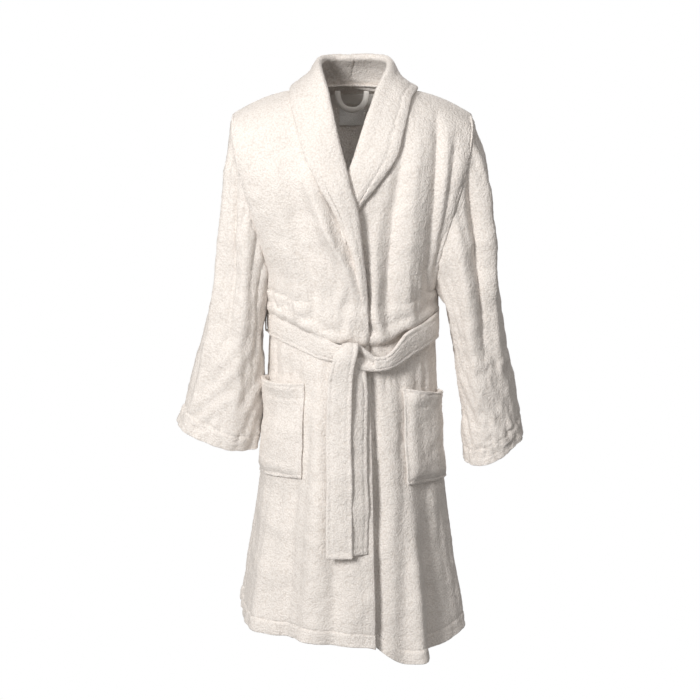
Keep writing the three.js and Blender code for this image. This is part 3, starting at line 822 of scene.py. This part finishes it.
def run_from(P, column):
    """Distance along each row from one of its ends."""
    steps = np.linalg.norm(np.diff(P, axis=1), axis=2)
    run = np.concatenate([np.zeros((len(P), 1)), np.cumsum(steps, axis=1)], axis=1)
    return run if column == 0 else run[:, -1:] - run


right_front = body_finish(right_front, 19, 1 - columns, run_from(right_front, -1))
left_front = body_finish(left_front, 21, columns, run_from(left_front, 0))
back = body_finish(back, 31, np.abs(np.linspace(-1, 1, BACK_COLUMNS))[None, :])


def opens(piece):
    """Bakes the placement of a piece of a skirt front into its mesh."""
    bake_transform(piece)


SIDES = {"right": (-1, "front_overlap", right_front), "left": (1, "front_underlap", left_front)}
for name, (side, body, grid) in SIDES.items():
    piece = shell(f"front_{name}", grid, PLY, cloth)
    opens(piece)
    nodes = [f"front_{name}_upper", f"front_{name}_skirt"]
    declare(piece, nodes, "cloth", flat=(0.36, 1.10), held="hung", rests_on=["belt_band"], area=0.36)

piece = shell("back", back, PLY, cloth)
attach(piece, "robe_body")
declare(piece, ["back_panel"], "cloth", flat=(0.64, 1.10), held="hung", rests_on=["belt_band"], area=0.62)

# ---- Turned hems and facings, on the inside ----

INSIDE = PLY / 2 + 0.0018  # how far a layer turned in lies from the middle of the one over it


def row_at(share):
    """The row of the body grids at that share of the way down."""
    return np.interp(share, SHARE, np.arange(len(SHARE)))


def hem_patch(grid, first, last):
    rows = np.linspace(row_at(2 - HEM / (BELT_Z - HEM_Z)), len(SHARE) - 1, 9)[:, None]
    cols = np.linspace(first, last, int(last - first) + 1)[None, :]
    return patch(grid, rows, cols, -INSIDE)


for name, (side, body, grid) in SIDES.items():
    last = grid.shape[1] - 1
    piece = shell(f"hem_{name}_band", hem_patch(grid, 1, last - 1), HEM_PLY, hem_cloth)
    opens(piece)
    declare(piece, [f"hem_{name}"], "hem", flat=(0.39, HEM), held="hung", rests_on=[f"front_{name}"])

    above_hem = 2 - (HEM + 0.004) / (BELT_Z - HEM_Z)
    rows = np.linspace(row_at(1.04), row_at(above_hem), 108)[:, None]
    wide = np.linspace(0.6, 21.5, 19)[None, :]
    cols = (last - wide[:, ::-1]) if side < 0 else wide
    piece = shell(f"facing_{name}_strip", patch(grid, rows, cols, -INSIDE), HEM_PLY, hem_cloth)
    opens(piece)
    declare(piece, [f"facing_{name}"], "hem", flat=(0.085, 0.58), held="hung", rests_on=[f"front_{name}"])

piece = shell("hem_back_band", hem_patch(back, 1, BACK_COLUMNS - 2), HEM_PLY, hem_cloth)
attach(piece, "robe_body")
declare(piece, ["hem_back"], "hem", flat=(0.70, HEM), held="hung", rests_on=["back"])

# ---- Sleeves ----

for name, spec in SLEEVES.items():
    side = spec["side"]
    grid = sleeve_finish(drape_sleeve(sleeve_base(**spec), side), SLEEVE_SEEDS[name])
    piece = shell(f"sleeve_{name}_cloth", grid, PLY, cloth, closed=True)
    cuff = lifted(grid, -INSIDE, closed=True)[-14:-1]
    band = shell(f"cuff_{name}_band", cuff, HEM_PLY, hem_cloth, closed=True)
    for part in (piece, band):
        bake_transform(part)
    declare(piece, [f"sleeve_{name}"], "cloth", flat=(0.50, 0.56), held="hung", rests_on=["back"], area=0.25)
    on_sleeve = [f"sleeve_{name}_cloth"]
    declare(band, [f"cuff_{name}"], "hem", flat=(0.52, CUFF_HEM), held="hung", rests_on=on_sleeve)

# ---- Shawl collar ----


def curve_through(points, count):
    """Points evenly spaced along a smooth line through the given ones."""
    p = np.array(points, float)
    ext = np.concatenate([[2 * p[0] - p[1]], p, [2 * p[-1] - p[-2]]])
    out = []
    for i in range(len(p) - 1):
        a, b, c, d = ext[i : i + 4]
        t = np.linspace(0, 1, 24, endpoint=False)[:, None]
        square, cube = 2 * a - 5 * b + 4 * c - d, 3 * b - a - 3 * c + d
        out.append(0.5 * (2 * b + (c - a) * t + square * t**2 + cube * t**3))
    line = np.concatenate([*out, p[-1:]])
    run = np.concatenate([[0], np.cumsum(np.linalg.norm(np.diff(line, axis=0), axis=1))])
    even = np.linspace(0, run[-1], count)
    return np.stack([np.interp(even, run, line[:, i]) for i in range(3)], axis=-1)


def on_front(x, z, side):
    """The point of a front panel at that x and height."""
    v = (seam_z(x) - z) / (seam_z(x) - belt_z(x))
    P = upper_front(np.array(x, float), np.array(v, float))
    if side < 0:
        P[1] -= float(wrap_lift(P))
    return P


LAPEL_Z = [-0.165, -0.213, -0.290, -0.363, -0.420]
right_free = profile(
    [(0.0, -0.127), (-0.020, -0.110), (-0.070, -0.096), (-0.131, -0.075), (-0.180, -0.047),
     (-0.230, -0.020), (-0.290, 0.003), (-0.363, 0.014), (-0.42, 0.021)]
)
left_free = profile(
    [(0.0, 0.116), (-0.020, 0.106), (-0.040, 0.098), (-0.070, 0.092), (-0.109, 0.082), (-0.127, 0.069),
     (-0.167, 0.040), (-0.208, 0.009), (-0.240, -0.005), (-0.290, -0.012), (-0.363, -0.019), (-0.42, -0.023)]
)
# The collar's roll from the middle of the back to the crossing, and its free edge to the shoulder: x, y, z.
NECK_ROLL = {
    -1: [(0.0, 0.060, 0.054), (0.034, 0.054, 0.054), (0.055, 0.026, 0.051), (0.054, -0.012, 0.034),
         (0.047, -0.048, 0.006), (0.038, -0.077, -0.036), (0.028, -0.097, -0.084), (0.018, -0.109, -0.124)],
    1: [(0.0, 0.060, 0.054), (0.038, 0.054, 0.054), (0.062, 0.026, 0.051), (0.061, -0.012, 0.034),
        (0.049, -0.048, 0.006), (0.033, -0.077, -0.036), (0.018, -0.097, -0.084), (0.005, -0.109, -0.124)],
}
NECK_FREE = {
    -1: [(0.0, 0.102, -0.006), (0.056, 0.093, -0.014), (0.092, 0.058, -0.015), (0.110, 0.012, -0.002)],
    1: [(0.0, 0.102, -0.006), (0.060, 0.093, -0.014), (0.101, 0.059, -0.014), (0.120, 0.011, -0.002)],
}


def collar_grid(side, edge, free, across=22, along=190):
    """One half of the collar, from its roll to its free edge, and its thickness at each point."""
    neck_roll, neck_free = ([(side * x, y, z) for x, y, z in line[side]] for line in (NECK_ROLL, NECK_FREE))
    if side < 0:
        neck_roll = [(x, y - 0.014 * float(ramp(x, -0.115, -0.05)) * (y < 0), z) for x, y, z in neck_roll]
    roll = curve_through([*neck_roll, *[on_front(edge(z), z, side) for z in LAPEL_Z]], along)
    free_z = [-0.020, -0.070, -0.116, *LAPEL_Z]
    outer = curve_through([*neck_free, *[on_front(free(z), z, side) for z in free_z]], along)
    w = np.linspace(0, 1, across)[:, None, None]
    P = lerp(roll[None], outer[None], w)
    if side > 0:
        P = P[:, ::-1]
    s = np.linspace(0, 1, along)[None, :]
    s = s if side < 0 else 1 - s
    w = w[..., 0]
    above = 0.0065 + 0.006 * np.sin(np.pi * np.clip(w, 0, 1)) ** 0.8
    above = above * lerp(1, 0.45, ramp(s, 0.75, 1.0))
    seam = -0.0016 * bell((1 - w) * 0.067, 0.015)
    lift = above + seam + crumple(P, 71 + side, 0.55) + 0.0012 * waves(P, 75 + side, 0.12, 0.06)
    thick = lerp(0.0145, 0.0095, ramp(w, 0.0, 0.35)) * lerp(1, 0.55, ramp(s, 0.80, 1.0))
    return lifted(P, lift), thick


for name, side, edge, free in (("right", -1, right_edge, right_free), ("left", 1, left_edge, left_free)):
    piece = shell(f"collar_{name}_band", *collar_grid(side, edge, free), cloth)
    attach(piece, "robe_body")
    flat = (0.075, 0.60)
    declare(piece, [f"collar_{name}"], "cloth", flat=flat, held="folded", rests_on=["back"], area=0.043)

# ---- Pockets ----

# Heights of the mouth and the bottom, each at the pocket's corner by the side seam and at its front corner.
POCKET_Z = {"right": ((-0.554, -0.546), (-0.746, -0.728)), "left": ((-0.582, -0.559), (-0.758, -0.742))}
# Its two sides, from the side seam, as shares of the front's width.
POCKET_SPAN = {"right": (0.085, 0.56), "left": (0.085, 0.53)}
POCKET_HEIGHT = 0.187
POCKET_PLY = 0.0042
MOUTH_HEM = 0.030
MOUTH_PLY = 0.0026
MOUTH_GAP = 0.0004  # between the pocket and the hem turned in at its mouth


def rows_at(P, cols, z):
    """Fractional rows of grid P where those columns are at heights z."""
    every = np.arange(len(P))
    found = np.empty(z.shape)
    for k in range(z.shape[1]):
        heights = sample(P, every.astype(float)[:, None], np.full((len(P), 1), cols[0, k]))[:, 0, 2]
        found[:, k] = np.interp(-z[:, k], -heights[100:], every[100:])
    return found


def pocket_grid(name, side, P):
    """A patch sewn on along three sides: raised inside its stitching, and standing open at its mouth."""
    last = P.shape[1] - 1
    mouth, middle, bottom = np.linspace(0, 0.2, 17), np.linspace(0.2, 0.95, 32), np.linspace(0.95, 1, 6)
    down = np.concatenate([mouth[:-1], middle[:-1], bottom])[:, None]
    share = np.linspace(0, 1, 45)[None, :]
    from_seam = share if side < 0 else share[:, ::-1]
    cols = lerp(*POCKET_SPAN[name], from_seam) * last
    cols = cols if side < 0 else last - cols
    (mouth_out, mouth_in), (low_out, low_in) = POCKET_Z[name]
    sag = 0.004 * np.sin(from_seam * np.pi)
    z = lerp(lerp(mouth_out, mouth_in, from_seam) - sag, lerp(low_out, low_in, from_seam), down)
    rows = rows_at(P, cols, z)
    inset = np.minimum(share, 1 - share) * 0.165
    depth = down * POCKET_HEIGHT
    raised = smooth(inset / 0.024) * smooth((POCKET_HEIGHT - depth) / 0.022)
    lift = 0.0070 + 0.0070 * raised + 0.0080 * bell(depth, 0, 0.024) * smooth(inset / 0.045)
    lift = lift - 0.0012 * (bell(inset, 0.006) + bell(POCKET_HEIGHT - depth, 0.006))
    lift = lift - 0.0016 * bell(depth, 0.0045, 0.0020) - 0.0006 * bell(depth, MOUTH_HEM)
    return patch(soften(P), rows, cols, lift)


def soften(P, times=10):
    """The same surface with its folds smoothed, because a patch bridges the folds under it."""
    Q = P.copy()
    for _ in range(times):
        Q[:, 1:-1] = (Q[:, :-2] + 2 * Q[:, 1:-1] + Q[:, 2:]) / 4
    return Q


for name, (side, body, grid) in SIDES.items():
    surface = pocket_grid(name, side, grid)
    surface = lifted(surface, crumple(surface, 90 + side, 0.9))
    piece = shell(f"pocket_{name}_patch", surface, POCKET_PLY, cloth)
    opens(piece)
    declare(piece, [f"pocket_{name}"], "cloth", flat=(0.17, 0.195), held="hung", rests_on=[f"front_{name}"])
    inner = lifted(surface, -(POCKET_PLY + MOUTH_PLY + MOUTH_GAP) / 2)[:14, 1:-1]
    piece = shell(f"pocket_{name}_mouth", inner, MOUTH_PLY, hem_cloth)
    opens(piece)
    on_pocket = [f"pocket_{name}_patch"]
    declare(piece, [f"pocket_hem_{name}"], "hem", flat=(0.17, 0.034), held="hung", rests_on=on_pocket)

# ---- Belt ----

BELT_PLY = 0.0075


def belt_grid():
    """From the knot's left side round the back to its right side."""
    angle = np.radians(np.linspace(15.0, 356.5, 242))[None, :]
    degrees = np.degrees(angle)
    across = np.linspace(-1, 1, 17)[:, None]
    x = WAIST[0] * np.sin(angle)
    front = np.cos(angle) > 0
    z0 = np.where(front, belt_z(x), BELT_Z + BELT_RISE - BELT_TILT * ramp(x, 0.0, 0.07))
    z0 = z0 - 0.018 * bell(degrees, 17, 17) + 0.006 * bell(degrees, 322, 15)
    right_end = lerp(0.48, 1.0, ramp(degrees, 19, 40))
    left_end = lerp(0.60, 1.0, ramp(357 - degrees, 3, 24))
    pinch = np.minimum(right_end, left_end)
    half = BELT_HEIGHT / 2 * pinch
    y = -WAIST[1] * np.cos(angle)
    lift = 0.0090 * ramp(x, -0.115, -0.05) * front
    P = np.stack([x + 0 * across, y - lift + 0 * across, z0 - across * half], axis=-1)
    off = 0.0078 + 0.0012 * np.cos(across * np.pi / 2)
    off = off + 0.0022 * np.sin(angle * 9 + 1) * np.abs(across) ** 3 * 0.5
    off = off - 0.0012 * bell((1 - np.abs(across)) * 0.021, 0.0045, 0.0016)
    off = off + 0.0075 * (1 - left_end) + 0.0165 * (1 - ramp(degrees, 17, 44))
    off = off + 0.003 * across**2 * (1 - pinch)
    sag = 0.0010 * np.sin(angle * 5 + 0.6) + 0.0008 * np.sin(angle * 11)
    P = lifted(P, off + crumple(P, 101, 0.7))
    P[..., 2] += sag
    return P


piece = shell("belt_band_cloth", belt_grid(), BELT_PLY, belt_cloth)
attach(piece, "robe_body")
declare(piece, ["belt_band"], "belt", flat=(0.95, BELT_HEIGHT), held="laid", rests_on=["back"])


def strip(centre, wide, face, across=15):
    """A band along a line of centre points, with a half width vector at each."""
    w = np.linspace(-1, 1, across)[None, :, None]
    P = centre[:, None, :] + wide[:, None, :] * w
    return P + face[:, None, :] * (0.0010 * np.cos(w * np.pi / 2))


def tail_strip(path, widths, yaw, seed, hem=0.010):
    """A belt end along path, turned about the vertical by yaw, with its long edges and its end stitched."""
    count = 118
    line = curve_through(path, count)
    t = np.linspace(0, 1, count)
    down = unit(np.gradient(line, axis=0))
    angle = np.interp(t, [q[0] for q in yaw], [q[1] for q in yaw])
    side = np.stack([np.cos(angle), np.sin(angle), 0 * t], axis=-1)
    side = unit(side - down * (side * down).sum(axis=1, keepdims=True))
    face = np.cross(down, side)
    half = np.interp(t, [q[0] for q in widths], [q[1] for q in widths]) / 2
    P = strip(line, side * half[:, None], face)
    w = np.linspace(-1, 1, P.shape[1])[None, :]
    run = np.linalg.norm(np.diff(line, axis=0), axis=1).sum() * (1 - t)[:, None]
    relief = -0.0014 * bell((1 - np.abs(w)) * half[:, None], 0.0050, 0.0018) - 0.0014 * bell(run, hem, 0.002)
    return lifted(P, relief + crumple(P, seed, 0.9)), t, w


def tail_y(z, off):
    return -(float(skirt_half_depth(z)) + off)


# The front end of the belt comes up behind the crossing, falls over its top and hangs down in front.
front_path = [(-0.008, -0.137, -0.497), (-0.009, -0.139, -0.476), (-0.010, -0.147, -0.462),
              (-0.011, -0.160, -0.461), (-0.014, -0.168, -0.475), (-0.020, -0.170, -0.505),
              (-0.0235, -0.171, -0.550), (-0.0245, -0.175, -0.595),
              *[(-0.0245 + 0.0015 * math.sin(40 * z), tail_y(z, 0.034), z)
                for z in (-0.65, -0.72, -0.79, -0.866)]]
back_path = [(0.006, -0.146, -0.490), (0.009, -0.149, -0.518), (0.010, -0.153, -0.560),
             *[(0.009 + 0.002 * math.sin(30 * z), tail_y(z, 0.0235), z)
               for z in (-0.62, -0.70, -0.78, -0.862)]]
# For each tail: its path, its width and its turn about the vertical along it, a seed, and its flat size.
TAILS = {
    "front": (front_path, [(0, 0.034), (0.12, 0.039), (0.3, 0.041), (1, 0.045)],
              [(0, 0.0), (0.2, 0.02), (0.5, -0.10), (0.8, 0.10), (1, 0.0)], 121, (0.044, 0.50)),
    "back": (back_path, [(0, 0.024), (0.2, 0.036), (1, 0.041)],
             [(0, 0.2), (0.3, 0.42), (0.7, 0.30), (1, 0.40)], 127, (0.042, 0.40)),
}
for name, (path, widths, yaw, seed, flat) in TAILS.items():
    P, t, w = tail_strip(path, widths, yaw, seed)
    if name == "front":
        P[..., 2] -= 0.011 * (1 - ramp(t, 0.14, 0.30))[:, None] * np.clip(0.25 - w, 0, 1.3) ** 1.6
    thick = lerp(0.0085, 0.0068, ramp(t, 0.1, 0.35))[:, None] + 0 * w
    piece = shell(f"belt_tail_{name}_strip", P, thick, belt_cloth)
    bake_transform(piece)
    declare(piece, [f"belt_tail_{name}"], "belt", flat=flat, held="hung", rests_on=["belt_band_cloth"])


def knot_turn():
    """The turn of the knot beside the front end: a rolled top edge, a hollow, and a rolled lower edge.

    It narrows to the right, where the belt goes on from it.
    """
    along = np.linspace(0, 1, 40)[None, :]
    w = np.linspace(0, 1, 26)[:, None]
    x = lerp(-0.016, 0.060, along) + 0 * w
    narrow = ramp(along, 0.30, 0.88)
    z = lerp(lerp(-0.461, -0.4885, narrow), lerp(-0.507, -0.5095, narrow), w)
    roll = 0.0080 * bell(w, 0.10, 0.15) + 0.0050 * bell(w, 0.92, 0.14)
    hollow = -0.0060 * bell(w, 0.50, 0.20)
    y = -(0.1450 + (roll + hollow) * lerp(1.0, 0.25, narrow)) + 0.0095 * ramp(along, 0.72, 1.0)
    P = np.stack([x, y, z], axis=-1)
    return lifted(P, crumple(P, 111, 0.8))


def knot_core():
    """The crossing under it, where both sides of the belt meet."""
    along = np.linspace(0, 1, 30)[None, :]
    w = np.linspace(0, 1, 16)[:, None]
    x = lerp(-0.024, 0.012, along) + 0 * w
    z = lerp(-0.468, -0.499, w) + 0.003 * np.sin(along * np.pi)
    y = -(0.1370 + 0.004 * np.sin(w * np.pi)) + 0 * along
    P = np.stack([x, y, z], axis=-1)
    return lifted(P, crumple(P, 113, 0.8))


piece = shell("belt_knot_turn", knot_turn(), 0.0068, belt_cloth)
core = shell("belt_knot_core", knot_core(), BELT_PLY, belt_cloth)
for part in (piece, core):
    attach(part, "robe_body")
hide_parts("belt_knot")
on_belt = ["belt_band_cloth"]
declare(piece, ["belt_knot"], "belt", flat=(0.044, 0.10), held="folded", rests_on=on_belt, with_pieces=[core])

# Belt loops at the side seams.
for name, side in (("right", -1), ("left", 1)):
    down = np.linspace(-1, 1, 40)[:, None]
    across = np.linspace(-1, 1, 7)[None, :]
    angle = side * np.radians(87 + across * 2.0 * side)
    stand = 0.0035 + 0.0105 * ramp(1 - np.abs(down), 0.04, 0.22)
    z = BELT_Z + BELT_RISE - down * 0.029
    x, y = (WAIST[0] + stand) * np.sin(angle), -(WAIST[1] + stand) * np.cos(angle)
    P = np.stack([x, y, z + 0 * across], axis=-1)
    piece = shell(f"belt_loop_{name}_strip", P, 0.0022, hem_cloth, pile=0.0002)
    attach(piece, "robe_body")
    declare(piece, [f"belt_loop_{name}"], "belt", flat=(0.011, 0.075), held="stretched", rests_on=["back"])

# ---- Inside the back neck ----


def inside_back(first, last, half_angle, off, nr, nc):
    """A patch on the inside of the back, between two shares of the way down."""
    rows = row_at(np.linspace(first, last, nr))[:, None]
    middle = (BACK_COLUMNS - 1) / 2
    reach = half_angle / 180 * (BACK_COLUMNS - 1)
    cols = np.linspace(middle - reach, middle + reach, nc)[None, :]
    return patch(back, rows, cols, -off)


TAPE_OFF = PLY / 2 + 0.0016
tape = inside_back(0.03, 0.075, 17, TAPE_OFF, 7, 40)
piece = shell("neck_tape_strip", tape, 0.0014, tape_cloth, pile=0)
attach(piece, "robe_body")
declare(piece, ["neck_tape"], "tape", flat=(0.135, 0.02), held="stretched", rests_on=["back"])
label = inside_back(0.095, 0.165, 6.5, TAPE_OFF, 12, 22)
piece = shell("neck_label_patch", label, 0.0009, label_cloth, pile=0)
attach(piece, "robe_body")
declare(piece, ["neck_label"], "label", flat=(0.05, 0.035), held="stretched", rests_on=["back"])

turn = np.linspace(0, np.pi, 60)
loop = np.stack([0.028 * np.cos(turn), 0.0815 + 0 * turn, -0.010 - 0.036 * np.sin(turn) ** 0.8], axis=-1)
tangent = unit(np.gradient(loop, axis=0))
wide = np.cross(tangent, np.array([0.0, 1.0, 0.0])) * 0.0042
face = np.tile([0.0, -1.0, 0.0], (len(turn), 1))
piece = shell("hanger_loop_cord", strip(loop, wide, face, across=7), 0.0022, tape_cloth, pile=0)
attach(piece, "hanger")
declare(piece, ["hanger_loop"], "tape", flat=(0.010, 0.11), held="hung", rests_on=["neck_tape_strip"])

# ---- Floor, light and camera ----

FLOOR_Z = -1.32
FLOOR_HALF = 14.0
corners = [(-1, -1), (1, -1), (1, 1), (-1, 1)]
floor_mesh = bpy.data.meshes.new("floor")
floor_mesh.from_pydata([(x * FLOOR_HALF, y * FLOOR_HALF, FLOOR_Z) for x, y in corners], [], [(0, 1, 2, 3)])
floor = bpy.data.objects.new("floor", floor_mesh)
bpy.context.scene.collection.objects.link(floor)


def white_to_camera(tree, lit, seen, surface):
    """The surface gives off plain light where the camera sees it, and the lit shader everywhere else."""
    mix, ray = new_node(tree, "MixShader"), new_node(tree, "LightPath")
    tree.links.new(ray.outputs["Is Camera Ray"], mix.inputs[0])
    tree.links.new(lit.outputs[0], mix.inputs[1])
    tree.links.new(seen.outputs[0], mix.inputs[2])
    tree.links.new(mix.outputs[0], surface)


pale = bpy.data.materials.new("floor_pale")
pale.use_nodes = True
tree = pale.node_tree
ground = new_node(tree, "BsdfDiffuse", {"Color": (0.30, 0.30, 0.30, 1)})
glow = new_node(tree, "Emission", {"Strength": 1.0})
white_to_camera(tree, ground, glow, tree.nodes["Material Output"].inputs["Surface"])
floor_mesh.materials.append(pale)

world = bpy.data.worlds.new("studio")
bpy.context.scene.world = world
world.use_nodes = True
tree = world.node_tree
tree.nodes.clear()
lit = new_node(tree, "Background", {"Color": (1.0, 0.965, 0.93, 1), "Strength": 0.30})
seen = new_node(tree, "Background", {"Color": (1, 1, 1, 1)})
white_to_camera(tree, lit, seen, new_node(tree, "OutputWorld").inputs["Surface"])


def softbox(name, at, aim, size, power, colour):
    light = bpy.data.lights.new(name, "AREA")
    light.shape = "RECTANGLE"
    light.size, light.size_y = size
    light.energy = power
    light.color = colour
    ob = bpy.data.objects.new(name, light)
    bpy.context.scene.collection.objects.link(ob)
    ob.location = at
    ob.rotation_euler = (Vector(aim) - Vector(at)).to_track_quat("-Z", "Y").to_euler()


softbox("key", (-1.90, -3.05, 1.25), (0, 0, -0.55), (0.9, 1.2), 138.0, (1.0, 0.985, 0.965))
softbox("back", (0.9, 3.5, 1.3), (0, 0, -0.5), (1.3, 1.3), 82.0, (1.0, 0.99, 0.98))
softbox("top", (0.3, -1.8, 2.2), (0, 0, -0.5), (1.8, 1.8), 16.0, (1.0, 0.98, 0.96))

camera = bpy.data.objects.new("camera", bpy.data.cameras.new("camera"))
bpy.context.scene.collection.objects.link(camera)
bpy.context.scene.camera = camera
LENS, DISTANCE, ELEVATION = 95.0, 3.6, math.radians(14.0)
AIM = Vector((-0.004, -0.03, -0.500))
camera.data.lens = LENS
camera.location = AIM + Vector((0, -math.cos(ELEVATION), math.sin(ELEVATION))) * DISTANCE
camera.rotation_euler = (AIM - camera.location).to_track_quat("-Z", "Y").to_euler()
bpy.context.scene.view_settings.view_transform = "Standard"
